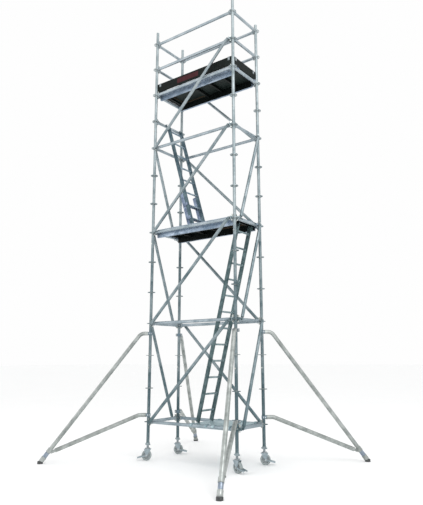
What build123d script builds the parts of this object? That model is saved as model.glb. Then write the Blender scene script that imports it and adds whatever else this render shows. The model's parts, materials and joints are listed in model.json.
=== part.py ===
from build123d import *
from math import atan2, cos, degrees, hypot, radians, sin, tan
import os

# Mobile tower scaffold: four ring-type standards on screw jacks and casters, tied by ledgers and
# diagonal braces, with a working deck, a rest platform, two ladder flights and four outriggers.
# Millimetres. +Z is up, X runs along the long side and Y from the front to the rear.
# The origin is on the floor under the middle of the tower.

# ---------------------------------------------------------------- driving dimensions
bay_length = 1660.0
bay_width = 700.0
ring_pitch = 500.0
ring_count = 14
bottom_ring_z = 560.0

tube_od = 48.3
tube_wall = 3.2
post_top_reach = 240.0
short_post_top_reach = 120.0
post_socket_depth = 160.0
socket_stop_lip = 5.0
socket_stop_thick = 6.0
joint_above_ring = 240.0
joint_rings = (1, 5, 9)
spigot_grip = 100.0
spigot_reach = 150.0
spigot_wall = 3.0
spigot_gap = 0.45

rosette_reach = 36.85
rosette_thick = 9.0
window_web = 10.0
window_rim = 5.0
ledger_window = 20.0
brace_window = 28.0

head_gap = 1.0
mouth_gap = 1.5
head_back = 10.0
head_half_width = 21.0
head_half_height = 30.0
head_round = 6.0
ledger_head_flare = 24.0
brace_head_flare = 20.0
wedge_thick = 6.0
wedge_gap = 1.0
wedge_taper = 6.0
wedge_above = 32.0
wedge_below = 22.0
weld_overlap = 4.0

brace_wall = 2.5
brace_post_gap = 9.7
brace_pivot_gap = 1.5
brace_head_half_width = 17.0
brace_head_half_height = 24.0
tongue_thick = 10.0
tongue_half_height = 19.0
tongue_gap = 0.5
brace_tube_back = 32.0
brace_cap_thick = 6.0
rivet_r = 7.0
rivet_gap = 0.3
rivet_cap_r = 11.0
rivet_cap_thick = 4.0
lug_length = 14.5

platform_side_gap = 4.0
platform_end_gap = 40.0
side_beam_width = 35.0
side_beam_height = 135.0
side_beam_wall = 3.0
platform_top_above_ledger = 52.0
cross_beam_width = 30.0
cross_beam_height = 50.0
board_thick = 12.0
board_gap = 2.0
hatch_length = 594.0
hatch_from_end = 78.0
hatch_rim_height = 22.0
hatch_rim_width = 25.0
hatch_gap = 3.0
hatch_seat = 12.0

hinge_spacing = 380.0
hinge_pin_r = 4.0
hinge_fit = 0.1
knuckle_r = 7.0
knuckle_length = 25.0
knuckle_gap = 1.0
hinge_axis_up = 8.0
leaf_thick = 3.0
leaf_length = 30.0

hook_gap = 0.5
hook_metal = 9.0
hook_width = 40.0
hook_drop = 6.0
platform_hook_edge_in = 40.0

toe_height = 150.0
toe_thick = 25.0
toe_above_platform = 3.0
toe_inset = 5.0
toe_edge_round = 2.0
toe_end_gap = 2.0
toe_corner_gap = 1.0
clip_metal = 3.0
clip_length = 40.0
clip_drop = 60.0
clip_from_end = 60.0
label_length = 465.0
label_height = 90.0
label_thick = 1.5
label_centre_x = -120.0

plank_foot_in = 25.0
plank_post_gap = 4.0
plank_count = 2
plank_gap = 5.0
plank_height = 55.0
plank_top_above_ledger = 20.0
plank_wall = 3.0
plank_hook_inset = 60.0

ladder_width = 335.0
stile_depth = 60.0
stile_thick = 25.0
stile_wall = 2.5
rung_r = 14.0
rung_wall = 2.5
rung_pitch = 250.0
first_rung = 165.0
foot_clearance = 0.3
ladder_foot_height = 30.0
ladder_hook_thick = 6.0
ladder_hook_drop = 90.0
ladder_hook_reach = 37.0
ladder_ledger_gap = 5.85
ladder_top_below = 30.0
lower_foot_x = 0.0
lower_centre_y = 0.0
upper_foot_x = 190.0
upper_ladder_edge_in = 15.0
upper_ladder_ring = 10
foot_section_length = 640.0
foot_section_gap = 2.0
coupling_plate_width = 50.0

wheel_r = 75.0
wheel_width = 46.0
tyre_thick = 17.0
tyre_round = 6.0
wheel_web_recess = 8.0
hub_r = 22.0
axle_r = 6.0
axle_fit = 0.05
swivel_offset = 15.0
fork_gap = 3.5
fork_plate = 5.0
fork_half_width_top = 52.0
fork_boss_r = 17.0
crown_above_wheel = 10.0
crown_thick = 6.0
race_r = 34.0
race_height = 5.0
swivel_gap = 0.5
king_pin_r = 8.0
king_pin_fit = 0.1
king_head_r = 13.0
king_head_height = 7.0
axle_head_r = 10.0
axle_head_height = 6.0
pedal_plate = 4.0
pedal_gap = 0.7
tread_gap = 16.0
pedal_arm_half_height = 9.0
tread_length = 52.0
tread_thick = 5.0
pedal_droop = 14.0

jack_flange_r = 40.0
jack_flange_thick = 8.0
jack_r = 19.0
jack_wall = 4.0
jack_showing = 42.0
jack_length = 460.0
nut_height = 30.0
nut_cup_depth = 6.0
nut_cup_wall = 6.0
nut_fit = 0.3
nut_wing_reach = 48.0
nut_wing_thick = 12.0
nut_wing_height = 20.0

steep_turn = 45.0
steep_reach = 1545.0
wide_turn = 63.0
wide_reach = 1435.0
outrigger_od = 60.3
outrigger_wall = 3.0
upper_clamp_ring = 3
upper_clamp_below = 160.0
lower_clamp_ring = 0
lower_clamp_above = 100.0
level_run = 150.0
bend_r = 110.0
tip_axis_z = 60.0
strut_join_back = 150.0
strut_end_back = 50.0
clamp_gap = 0.3
clamp_wall = 7.0
clamp_height = 45.0
clamp_split = 3.0
ear_reach = 22.0
ear_half_thick = 8.0
clamp_bolt_r = 6.0
clamp_bolt_gap = 0.5
bolt_head_r = 10.0
bolt_head_thick = 8.0
plug_gap = 0.4
plug_length = 45.0
saddle_gap = 8.0
coupler_wall = 7.0
coupler_width = 60.0
coupler_tongue_in = 60.0
coupler_tongue_thick = 14.0
coupler_tongue_half = 20.0
foot_pad_r = 42.0
foot_pad_height = 40.0
foot_pad_round = 9.0
foot_socket_wall = 7.0
foot_socket_length = 40.0
foot_socket_gap = 0.3

# ---------------------------------------------------------------- sizes worked out from them
post_r = tube_od / 2
post_bore_r = post_r - tube_wall
rosette_r = post_r + rosette_reach
window_in_r = post_r + window_web
window_out_r = rosette_r - window_rim
window_mid_r = (window_in_r + window_out_r) / 2
mouth_end = rosette_r + mouth_gap
head_end = mouth_end + head_back
brace_out = tube_od + brace_post_gap
brace_pivot_in = head_end + brace_pivot_gap

corners = {
    "front_left": (-1, -1),
    "rear_left": (-1, 1),
    "front_right": (1, -1),
    "rear_right": (1, 1),
}
caster_heading = {"front_left": 216.0, "rear_left": 36.0, "front_right": -9.0, "rear_right": 36.0}
short_topped = ("rear_right",)
reaches = {
    "front_left": steep_reach,
    "rear_left": wide_reach,
    "front_right": wide_reach,
    "rear_right": steep_reach,
}

ledger_rings = (0, 3, 6, 9, 11, 12, 13)
left_extra_ring = upper_ladder_ring
long_brace_rings = (0, 3, 6, 9)
short_brace_rings = (0, 3, 6)
brace_rings_high = 3
rest_ring = 6
deck_ring = 11

crown_z = 2 * wheel_r + crown_above_wheel
race_top_z = crown_z + crown_thick + race_height
flange_z = race_top_z + swivel_gap
stem_z = flange_z + jack_flange_thick
nut_z = stem_z + jack_showing
post_foot_z = nut_z + nut_height + nut_fit

platform_width = bay_width - 2 * (rosette_r + platform_side_gap)
platform_half = bay_length / 2 - platform_end_gap
beam_inner_y = platform_width / 2 - side_beam_width
platform_hook_y = platform_width / 2 - platform_hook_edge_in
upper_centre_y = platform_width / 2 - upper_ladder_edge_in - (ladder_width + stile_thick) / 2
plank_low_x = lower_foot_x - plank_foot_in
plank_end_x = bay_length / 2 - rosette_r - plank_post_gap
ladder_top_in = stile_depth / 2 + post_r + ladder_ledger_gap
pedal_arm_length = wheel_r + tread_gap + tread_length
upper_clamp_z = bottom_ring_z + ring_pitch * upper_clamp_ring - upper_clamp_below
lower_clamp_z = bottom_ring_z + ring_pitch * lower_clamp_ring + lower_clamp_above
low_middle_high = (Align.CENTER, Align.CENTER, Align.MIN)


def ring_z(ring):
    return bottom_ring_z + ring_pitch * ring


def rod(radius, height, z=0.0):
    return Pos(0, 0, z) * Cylinder(radius, height, align=low_middle_high)


def pipe(outer_r, inner_r, height, z=0.0):
    return rod(outer_r, height, z) - rod(inner_r, height, z)


def block(x, y, z):
    """A box given by its low and high values along each axis."""
    centre = Pos((x[0] + x[1]) / 2, (y[0] + y[1]) / 2, (z[0] + z[1]) / 2)
    return centre * Box(x[1] - x[0], y[1] - y[0], z[1] - z[0])


def plate(points, thickness):
    """A plate whose outline is given as (x, z) points, centred on y = 0."""
    outline = Plane.XZ * make_face(Polyline(points, close=True))
    return extrude(outline, amount=thickness / 2, both=True)


def along_x(piece):
    return Rot(0, 90, 0) * piece


def along_y(piece):
    return Rot(-90, 0, 0) * piece


def save(node, *pieces):
    solids = [solid for piece in pieces for solid in piece.solids()]
    export_step(Compound(solids), f"parts/{node}.step")


def at_corner(corner):
    side_x, side_y = corners[corner]
    return Pos(side_x * bay_length / 2, side_y * bay_width / 2, 0)


# ---------------------------------------------------------------- standards
def rosette():
    disc = Cylinder(rosette_r, rosette_thick) - Cylinder(post_r, rosette_thick)
    for turn in range(8):
        width = ledger_window if turn % 2 == 0 else brace_window
        window = Box(window_out_r - window_in_r, width, rosette_thick)
        disc -= Rot(0, 0, 45 * turn) * Pos(window_mid_r, 0, 0) * window
    return disc


def spigot(joint_z):
    sleeve_r = post_bore_r - spigot_gap
    inner_r = sleeve_r - spigot_wall
    held = pipe(post_bore_r, inner_r, spigot_grip, joint_z - spigot_grip)
    return held + pipe(sleeve_r, inner_r, spigot_reach, joint_z)


def standard_section(low_z, high_z, is_top):
    section = pipe(post_r, post_bore_r, high_z - low_z, low_z)
    for ring in range(ring_count):
        if low_z < ring_z(ring) < high_z:
            section += Pos(0, 0, ring_z(ring)) * rosette()
    if is_top:
        stop_z = high_z - post_socket_depth - socket_stop_thick
        return section + pipe(post_bore_r, post_bore_r - socket_stop_lip, socket_stop_thick, stop_z)
    return section + spigot(high_z)


def standard_sections(top_reach):
    joints = [ring_z(ring) + joint_above_ring for ring in joint_rings]
    ends = [post_foot_z, *joints, ring_z(ring_count - 1) + top_reach]
    return [standard_section(low, high, high == ends[-1]) for low, high in zip(ends, ends[1:])]


# ---------------------------------------------------------------- ledgers and wedges
def wedge_head(half_width, half_height, flare):
    """A head that points along +X from the standard's axis, narrowed so its neighbours clear it."""
    head = block((post_r, head_end), (-half_width, half_width), (-half_height, half_height))
    head = fillet(head.edges().filter_by(Axis.X), head_round)
    spread = head_end * tan(radians(flare))
    sector = make_face(Polyline([(0, 0), (head_end, -spread), (head_end, spread)], close=True))
    head &= extrude(sector, amount=half_height, both=True)
    head -= Cylinder(post_r + head_gap, 2 * half_height)
    head -= block((0, mouth_end), (-half_width, half_width),
                  (-rosette_thick / 2 - mouth_gap, rosette_thick / 2 + mouth_gap))
    slot = Box(window_out_r - window_in_r, wedge_thick + 2 * wedge_gap, 2 * half_height)
    return head - Pos(window_mid_r, 0, 0) * slot


def wedge(half_height):
    inner = window_in_r + wedge_gap
    outer = window_out_r - wedge_gap
    top = half_height + wedge_above
    bottom = -half_height - wedge_below
    points = [(inner, bottom), (outer - wedge_taper, bottom), (outer, top), (inner, top)]
    return plate(points, wedge_thick)


def ledger(span):
    run = span - 2 * (head_end - weld_overlap)
    tube = along_x(Pos(0, 0, -run / 2) * pipe(post_r, post_bore_r, run))
    head = wedge_head(head_half_width, head_half_height, ledger_head_flare)
    return tube + Pos(-span / 2, 0, 0) * head + Pos(span / 2, 0, 0) * Rot(0, 0, 180) * head


def ledger_places():
    """Where each ledger sits: (its place, its span)."""
    places = []
    for ring in ledger_rings:
        for side in (-1, 1):
            places.append((Pos(0, side * bay_width / 2, ring_z(ring)), bay_length))
            places.append((Pos(side * bay_length / 2, 0, ring_z(ring)) * Rot(0, 0, 90), bay_width))
    places.append((Pos(-bay_length / 2, 0, ring_z(left_extra_ring)) * Rot(0, 0, 90), bay_width))
    return places


def ledgers(span):
    one = ledger(span)
    return [place * one for place, its_span in ledger_places() if its_span == span]


def ledger_wedges():
    one = wedge(head_half_height)
    both = []
    for place, span in ledger_places():
        both.append(place * Pos(-span / 2, 0, 0) * one)
        both.append(place * Pos(span / 2, 0, 0) * Rot(0, 0, 180) * one)
    return both


# ---------------------------------------------------------------- braces
def brace_head(side):
    """Head on the diagonal window of a front standard; side is +1 where the brace leaves to +X."""
    turn = -45 if side > 0 else -135
    head = wedge_head(brace_head_half_width, brace_head_half_height, brace_head_flare)
    head = Rot(0, 0, turn) * head
    lug_face = -(brace_out - tongue_thick / 2 - tongue_gap)
    lug = Pos(0, lug_face, 0) * along_y(rod(tongue_half_height, lug_length))
    cap_face = -(brace_out + tongue_thick / 2 + tongue_gap)
    rivet = Pos(0, cap_face, 0) * along_y(rod(rivet_r, lug_face - cap_face))
    cap = Pos(0, cap_face - rivet_cap_thick, 0) * along_y(rod(rivet_cap_r, rivet_cap_thick))
    return head + Pos(side * brace_pivot_in, 0, 0) * (lug + rivet + cap)


def brace_bar(length):
    """Tube with a flat tongue at each end, from pivot to pivot along +X."""
    run = length - 2 * brace_tube_back
    bar = along_x(pipe(post_r, post_r - brace_wall, run, brace_tube_back))
    for end, inward in ((0, 1), (length, -1)):
        reach = brace_tube_back + brace_cap_thick
        tongue = block((0, reach), (-tongue_thick / 2, tongue_thick / 2),
                       (-tongue_half_height, tongue_half_height))
        tongue += Pos(0, -tongue_thick / 2, 0) * along_y(rod(tongue_half_height, tongue_thick))
        tongue -= Pos(0, -tongue_thick / 2, 0) * along_y(rod(rivet_r + rivet_gap, tongue_thick))
        cap = along_x(rod(post_r, brace_cap_thick, brace_tube_back))
        turned = Rot(0, 0, 0) if inward > 0 else Rot(0, 0, 180)
        bar += Pos(end, 0, 0) * turned * (tongue + cap)
    return bar


def brace(span):
    """One brace on the front face, low at -X; its low ring is at z = 0."""
    rise = ring_pitch * brace_rings_high
    run = span - 2 * brace_pivot_in
    tilt = degrees(atan2(rise, run))
    bar = Pos(-run / 2, -brace_out, 0) * Rot(0, -tilt, 0) * brace_bar(hypot(run, rise))
    low = Pos(-span / 2, 0, 0) * brace_head(1)
    high = Pos(span / 2, 0, rise) * brace_head(-1)
    return [bar, low, high]


def brace_wedge_pair(span):
    one = wedge(brace_head_half_height)
    low = Pos(-span / 2, 0, 0) * Rot(0, 0, -45) * one
    high = Pos(span / 2, 0, ring_pitch * brace_rings_high) * Rot(0, 0, -135) * one
    return [low, high]


def brace_places(span):
    """The four faces are the same seen from outside, so each is the front face turned."""
    if span == bay_length:
        faces = [(0, bay_width / 2), (180, bay_width / 2)]
        rings = long_brace_rings
    else:
        faces = [(90, bay_length / 2), (270, bay_length / 2)]
        rings = short_brace_rings
    return [Rot(0, 0, turn) * Pos(0, -out, ring_z(ring)) for turn, out in faces for ring in rings]


def braces(span):
    pieces = brace(span)
    return [place * piece for place in brace_places(span) for piece in pieces]


def brace_wedges():
    placed = []
    for span in (bay_length, bay_width):
        pair = brace_wedge_pair(span)
        placed += [place * one for place in brace_places(span) for one in pair]
    return placed


# ---------------------------------------------------------------- hooks
def hook_profile(reach, arm, down):
    """Hook over a ledger at the origin: its top reaches to -X, and its shank hangs down below."""
    inner_r = post_r + hook_gap
    outer_r = inner_r + hook_metal
    over = Circle(outer_r) - Pos(0, -outer_r - hook_drop) * Rectangle(2 * outer_r, 2 * outer_r)
    level = Pos(-reach / 2, outer_r / 2) * Rectangle(reach, outer_r)
    shank_width = arm - inner_r
    shank = Pos(-inner_r - shank_width / 2, -down / 2) * Rectangle(shank_width, down)
    return over + level + shank - Circle(inner_r)


def hook(reach, arm, down, width):
    return extrude(Plane.XZ * hook_profile(reach, arm, down), amount=width / 2, both=True)


# ---------------------------------------------------------------- deck and rest platform
def hatch_span(side):
    """Low and high x of the hatch lid, which lies near the end that side names."""
    far = platform_half - hatch_from_end
    near = far - hatch_length
    return (near, far) if side > 0 else (-far, -near)


def cross_beam(x_mid, top):
    return block((x_mid - cross_beam_width / 2, x_mid + cross_beam_width / 2),
                 (-beam_inner_y, beam_inner_y), (top - cross_beam_height, top))


def frame_knuckles(top, x_mid):
    knuckles = []
    for side in (-1, 1):
        x = x_mid + side * (knuckle_length + knuckle_gap) - knuckle_length / 2
        eye = along_x(rod(knuckle_r, knuckle_length, x))
        leaf = block((x, x + knuckle_length), (0, leaf_length),
                     (-hinge_axis_up, leaf_thick - hinge_axis_up))
        hole = along_x(rod(hinge_pin_r + hinge_fit, knuckle_length, x))
        knuckles.append(hinge_place(top) * (eye + leaf - hole))
    return knuckles


def hinge_place(top):
    return Pos(0, beam_inner_y - hatch_gap / 2, top + hinge_axis_up)


def hinge_middles(side):
    low, high = hatch_span(side)
    return [(low + high) / 2 + half * hinge_spacing / 2 for half in (-1, 1)]


def platform_frame(ring, side):
    ledger_z = ring_z(ring)
    top = ledger_z + platform_top_above_ledger
    low, high = hatch_span(side)
    pieces = []
    for edge in (-1, 1):
        outer = edge * platform_width / 2
        inner = edge * beam_inner_y
        beam = block((-platform_half, platform_half), sorted((inner, outer)),
                     (top - side_beam_height, top))
        core = Box(2 * platform_half, side_beam_width - 2 * side_beam_wall,
                   side_beam_height - 2 * side_beam_wall)
        pieces.append(beam - Pos(0, (inner + outer) / 2, top - side_beam_height / 2) * core)
    for end in (-1, 1):
        pieces.append(cross_beam(end * (platform_half - cross_beam_width / 2), top))
    trimmers = [low + hatch_seat - cross_beam_width / 2, high - hatch_seat + cross_beam_width / 2]
    plain_end = -side * platform_half
    plain_trimmer = trimmers[0] if side > 0 else trimmers[1]
    thirds = [plain_end + (plain_trimmer - plain_end) * share / 3 for share in (1, 2)]
    for x in trimmers + thirds:
        pieces.append(cross_beam(x, top - board_thick))
    for end in (-1, 1):
        turned = Rot(0, 0, 0) if end > 0 else Rot(0, 0, 180)
        for y in (-platform_hook_y, platform_hook_y):
            one = hook(platform_end_gap, platform_end_gap, hook_drop, hook_width)
            pieces.append(Pos(end * bay_length / 2, y, ledger_z) * turned * one)
    for x in hinge_middles(side):
        pieces += frame_knuckles(top, x)
    return pieces


def platform_boards(ring, side):
    top = ring_z(ring) + platform_top_above_ledger
    low, high = hatch_span(side)
    ends = platform_half - cross_beam_width - board_gap
    width = beam_inner_y - board_gap
    spans = [(-ends, low - hatch_gap), (high + hatch_gap, ends)]
    return [block(span, (-width, width), (top - board_thick, top)) for span in spans]


def hatch(ring, side):
    top = ring_z(ring) + platform_top_above_ledger
    low, high = hatch_span(side)
    width = beam_inner_y - hatch_gap
    lid = block((low, high), (-width, width), (top - board_thick, top))
    inset = hatch_seat + cross_beam_width / 2
    rim_x = (low + inset, high - inset)
    rim_y = (-width + hatch_gap, width - hatch_gap)
    rim_z = (top - board_thick - hatch_rim_height, top - board_thick)
    rim = block(rim_x, rim_y, rim_z)
    rim -= block((rim_x[0] + hatch_rim_width, rim_x[1] - hatch_rim_width),
                 (rim_y[0] + hatch_rim_width, rim_y[1] - hatch_rim_width), rim_z)
    pieces = [lid + rim]
    for x in hinge_middles(side):
        eye = along_x(rod(knuckle_r, knuckle_length, x - knuckle_length / 2))
        leaf = block((x - knuckle_length / 2, x + knuckle_length / 2), (-leaf_length, 0),
                     (-hinge_axis_up, leaf_thick - hinge_axis_up))
        hole = along_x(rod(hinge_pin_r + hinge_fit, knuckle_length, x - knuckle_length / 2))
        pieces.append(hinge_place(top) * (eye + leaf - hole))
    return pieces


def hinge_pins(ring, side):
    top = ring_z(ring) + platform_top_above_ledger
    length = 3 * knuckle_length + 2 * knuckle_gap
    one = along_x(rod(hinge_pin_r, length, -length / 2))
    return [hinge_place(top) * Pos(x, 0, 0) * one for x in hinge_middles(side)]


# ---------------------------------------------------------------- toe boards
def toe_base_z():
    return ring_z(deck_ring) + platform_top_above_ledger + toe_above_platform


def toe_board(half_length, outer):
    """A board along X whose outer face is at y = -outer."""
    board = block((-half_length, half_length), (-outer, -outer + toe_thick),
                  (toe_base_z(), toe_base_z() + toe_height))
    return fillet(board.edges().filter_by(Axis.X), toe_edge_round)


def toe_layout():
    """For each side: its turn, half length and the distance of its outer face from the middle."""
    long_outer = bay_width / 2 - toe_inset
    short_outer = bay_length / 2 - toe_inset
    long_half = bay_length / 2 - post_r - toe_end_gap
    short_half = long_outer - toe_thick - toe_corner_gap
    return [(0, long_half, long_outer), (180, long_half, long_outer),
            (90, short_half, short_outer), (270, short_half, short_outer)]


def toe_boards():
    return [Rot(0, 0, turn) * toe_board(half, outer) for turn, half, outer in toe_layout()]


def toe_clips():
    clips = []
    top = toe_base_z() + toe_height
    for turn, half, outer in toe_layout():
        for x in (-half + clip_from_end, half - clip_from_end):
            shell = block((x - clip_length / 2, x + clip_length / 2),
                          (-outer - clip_metal, -outer + toe_thick + clip_metal),
                          (top - clip_drop, top + clip_metal))
            board = block((x - clip_length / 2, x + clip_length / 2),
                          (-outer, -outer + toe_thick), (top - clip_drop, top))
            clips.append(Rot(0, 0, turn) * (shell - board))
    return clips


def toe_label():
    outer = bay_width / 2 - toe_inset
    middle_z = toe_base_z() + toe_height / 2
    return block((label_centre_x - label_length / 2, label_centre_x + label_length / 2),
                 (-outer - label_thick, -outer),
                 (middle_z - label_height / 2, middle_z + label_height / 2))


# ---------------------------------------------------------------- base planks
def base_planks():
    pieces = []
    ledger_z = ring_z(0)
    top = ledger_z + plank_top_above_ledger
    end_y = bay_width / 2 - platform_end_gap
    width = (plank_end_x - plank_low_x - plank_gap * (plank_count - 1)) / plank_count
    for number in range(plank_count):
        low = plank_low_x + number * (width + plank_gap)
        high = low + width
        shell = block((low, high), (-end_y, end_y), (top - plank_height, top))
        shell -= block((low + plank_wall, high - plank_wall), (-end_y + plank_wall, end_y - plank_wall),
                       (top - plank_height, top - plank_wall))
        pieces.append(shell)
        for x in (low + plank_hook_inset, high - plank_hook_inset):
            for side in (-1, 1):
                one = hook(platform_end_gap, platform_end_gap, hook_drop, hook_width)
                pieces.append(Pos(x, side * bay_width / 2, ledger_z) * Rot(0, 0, side * 90) * one)
    return pieces


# ---------------------------------------------------------------- ladders
def stile(low, high):
    """A hollow stile that stands on z = low, in the ladder's own upright frame."""
    outer = block((-stile_depth / 2, stile_depth / 2), (-stile_thick / 2, stile_thick / 2), (low, high))
    return outer - block((-stile_depth / 2 + stile_wall, stile_depth / 2 - stile_wall),
                         (-stile_thick / 2 + stile_wall, stile_thick / 2 - stile_wall), (low, high))


def ladder_foot_piece():
    return block((-stile_depth / 2, stile_depth / 2), (-stile_thick / 2, stile_thick / 2),
                 (0, ladder_foot_height))


def rung(z):
    length = ladder_width - stile_thick
    return Pos(0, -length / 2, z) * along_y(pipe(rung_r, rung_r - rung_wall, length))


def ladder_run(length):
    """Two stiles with feet and rungs, upright, standing on the origin."""
    pieces = []
    for side in (-1, 1):
        place = Pos(0, side * ladder_width / 2, 0)
        pieces.append(place * stile(ladder_foot_height, length))
        pieces.append(place * ladder_foot_piece())
    count = int((length - first_rung - rung_r) / rung_pitch) + 1
    pieces += [rung(first_rung + number * rung_pitch) for number in range(count)]
    return pieces


def lean(foot_x, foot_z, top_z):
    """Length and tilt of a ladder that leans to the +X ledger from a foot on a surface."""
    top_x = bay_length / 2 - ladder_top_in
    tilt = atan2(top_x - foot_x, top_z - foot_z)
    lift = stile_depth / 2 * sin(tilt) + foot_clearance
    length = (top_z - foot_z - lift) / cos(tilt)
    return length, degrees(tilt), foot_z + lift


def leaning_ladder(foot_x, foot_z, ledger_z, centre_y):
    """A ladder that leans to +X and hooks over the short ledger there."""
    length, tilt, start_z = lean(foot_x, foot_z, ledger_z - ladder_top_below)
    place = Pos(foot_x, centre_y, start_z) * Rot(0, tilt, 0)
    pieces = [place * piece for piece in ladder_run(length)]
    arm = ladder_top_in + stile_depth / 4
    for side in (-1, 1):
        y = centre_y + side * (ladder_width / 2 + stile_thick / 2 + ladder_hook_thick / 2)
        one = hook(ladder_hook_reach, arm, ladder_hook_drop, ladder_hook_thick)
        pieces.append(Pos(bay_length / 2, y, ledger_z) * one)
    return pieces


def lower_ladder():
    foot_z = ring_z(0) + plank_top_above_ledger
    return leaning_ladder(lower_foot_x, foot_z, ring_z(rest_ring), lower_centre_y)


def upper_ladder():
    foot_z = ring_z(rest_ring) + platform_top_above_ledger
    pieces = leaning_ladder(upper_foot_x, foot_z, ring_z(upper_ladder_ring), -upper_centre_y)
    return [Rot(0, 0, 180) * piece for piece in pieces]


def upper_ladder_foot():
    """A short second section behind the upper ladder's lower end, with plates that couple the two."""
    foot_z = ring_z(rest_ring) + platform_top_above_ledger
    top_z = ring_z(upper_ladder_ring) - ladder_top_below
    tilt = lean(upper_foot_x, foot_z, top_z)[1]
    shift = stile_depth + foot_section_gap
    start_z = foot_z + stile_depth / 2 * sin(radians(tilt)) + foot_clearance
    foot_x = upper_foot_x + shift / cos(radians(tilt))
    turn = Rot(0, 0, 180) * Pos(foot_x, -upper_centre_y, start_z) * Rot(0, tilt, 0)
    pieces = [turn * piece for piece in ladder_run(foot_section_length)]
    for side in (-1, 1):
        y = side * (ladder_width / 2 + stile_thick / 2 + ladder_hook_thick / 2)
        for z in (first_rung, first_rung + rung_pitch):
            coupling = block((-shift - stile_depth / 4, stile_depth / 4),
                             (y - ladder_hook_thick / 2, y + ladder_hook_thick / 2),
                             (z - coupling_plate_width / 2, z + coupling_plate_width / 2))
            pieces.append(turn * coupling)
    return pieces


# ---------------------------------------------------------------- screw jacks
def jack_stem():
    stem = pipe(jack_r, jack_r - jack_wall, jack_length, stem_z)
    flange = rod(jack_flange_r, jack_flange_thick, flange_z)
    pin_low = crown_z - swivel_gap
    pin = rod(king_pin_r, flange_z - pin_low, pin_low)
    head = rod(king_head_r, king_head_height, pin_low - king_head_height)
    return stem + flange + pin + head


def jack_nut():
    cup_r = post_r + nut_fit + nut_cup_wall
    body = rod(cup_r, nut_height + nut_cup_depth, nut_z)
    for side in (-1, 1):
        wing = block((0, nut_wing_reach), (-nut_wing_thick / 2, nut_wing_thick / 2),
                     (nut_z, nut_z + nut_wing_height))
        wing = fillet(wing.edges().filter_by(Axis.Y), nut_wing_height / 4)
        body += Rot(0, 0, 90 - 90 * side) * wing
    body -= rod(jack_r + nut_fit, nut_height, nut_z)
    return body - rod(post_r + nut_fit, nut_cup_depth, nut_z + nut_height)


# ---------------------------------------------------------------- casters, heading along +X
def wheel():
    place = Pos(swivel_offset, 0, wheel_r)
    tyre = Pos(0, -wheel_width / 2, 0) * along_y(pipe(wheel_r, wheel_r - tyre_thick, wheel_width))
    outer_edges = tyre.edges().filter_by(GeomType.CIRCLE).sort_by(SortBy.LENGTH)[-2:]
    tyre = fillet(outer_edges, tyre_round)
    core_r = wheel_r - tyre_thick
    core = Pos(0, -wheel_width / 2, 0) * along_y(rod(core_r, wheel_width))
    for side in (-1, 1):
        dish = pipe(core_r - tyre_round, hub_r, wheel_web_recess)
        y = -wheel_width / 2 if side < 0 else wheel_width / 2 - wheel_web_recess
        core -= Pos(0, y, 0) * along_y(dish)
    core -= Pos(0, -wheel_width / 2, 0) * along_y(rod(axle_r + axle_fit, wheel_width))
    return [place * tyre, place * core]


def fork():
    leg_y = wheel_width / 2 + fork_gap
    crown = block((-fork_half_width_top, fork_half_width_top),
                  (-leg_y - fork_plate, leg_y + fork_plate), (crown_z, crown_z + crown_thick))
    body = crown + rod(race_r, race_height, crown_z + crown_thick)
    for side in (-1, 1):
        outline = [(-fork_half_width_top, crown_z + crown_thick),
                   (swivel_offset - fork_boss_r, wheel_r),
                   (swivel_offset + fork_boss_r, wheel_r),
                   (fork_half_width_top, crown_z + crown_thick)]
        leg = plate(outline, fork_plate)
        leg += Pos(swivel_offset, -fork_plate / 2, wheel_r) * along_y(rod(fork_boss_r, fork_plate))
        body += Pos(0, side * (leg_y + fork_plate / 2), 0) * leg
    body -= rod(king_pin_r + king_pin_fit, crown_thick + race_height, crown_z)
    half = leg_y + fork_plate
    body -= Pos(swivel_offset, -half, wheel_r) * along_y(rod(axle_r, 2 * half))
    return body


def axle():
    half = wheel_width / 2 + fork_gap + fork_plate + pedal_gap + pedal_plate + pedal_gap
    bolt = Pos(0, -half, 0) * along_y(rod(axle_r, 2 * half))
    for side in (-1, 1):
        y = half if side > 0 else -half - axle_head_height
        bolt += Pos(0, y, 0) * along_y(rod(axle_head_r, axle_head_height))
    return Pos(swivel_offset, 0, wheel_r) * bolt


def pedal():
    """Two arms that hang on the axle outside the fork, joined by a tread behind the tyre."""
    arm_y = wheel_width / 2 + fork_gap + fork_plate + pedal_gap
    height = pedal_arm_half_height
    body = None
    for side in (-1, 1):
        low_y, high_y = sorted((side * arm_y, side * (arm_y + pedal_plate)))
        arm = block((0, pedal_arm_length), (low_y, high_y), (-height, height))
        arm += Pos(0, low_y, 0) * along_y(rod(fork_boss_r, pedal_plate))
        arm -= Pos(0, low_y, 0) * along_y(rod(axle_r + axle_fit, pedal_plate))
        body = arm if body is None else body + arm
    body += block((pedal_arm_length - tread_length, pedal_arm_length),
                  (-arm_y - pedal_plate, arm_y + pedal_plate), (height - tread_thick, height))
    return Pos(swivel_offset, 0, wheel_r) * Rot(0, pedal_droop, 0) * body


# ---------------------------------------------------------------- outriggers, leaving along +X
def bent_tube(points):
    """Tube along points in the XZ plane, with its corners rounded."""
    corners_3d = [(x, 0, z) for x, z in points]
    path = FilletPolyline(*corners_3d, radius=bend_r)
    start = Plane(origin=path @ 0, z_dir=path % 0)
    ring = Circle(outrigger_od / 2) - Circle(outrigger_od / 2 - outrigger_wall)
    return sweep(start * ring, path=path)


def tube_start_x():
    return post_r + clamp_gap + clamp_wall + saddle_gap


def main_slope(reach):
    """Unit vector down the main tube, from its bend to its tip."""
    drop_x = reach - level_run
    drop_z = tip_axis_z - upper_clamp_z
    size = hypot(drop_x, drop_z)
    return drop_x / size, drop_z / size


def main_tube(reach):
    return bent_tube([(tube_start_x(), upper_clamp_z), (level_run, upper_clamp_z),
                      (reach, tip_axis_z)])


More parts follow.
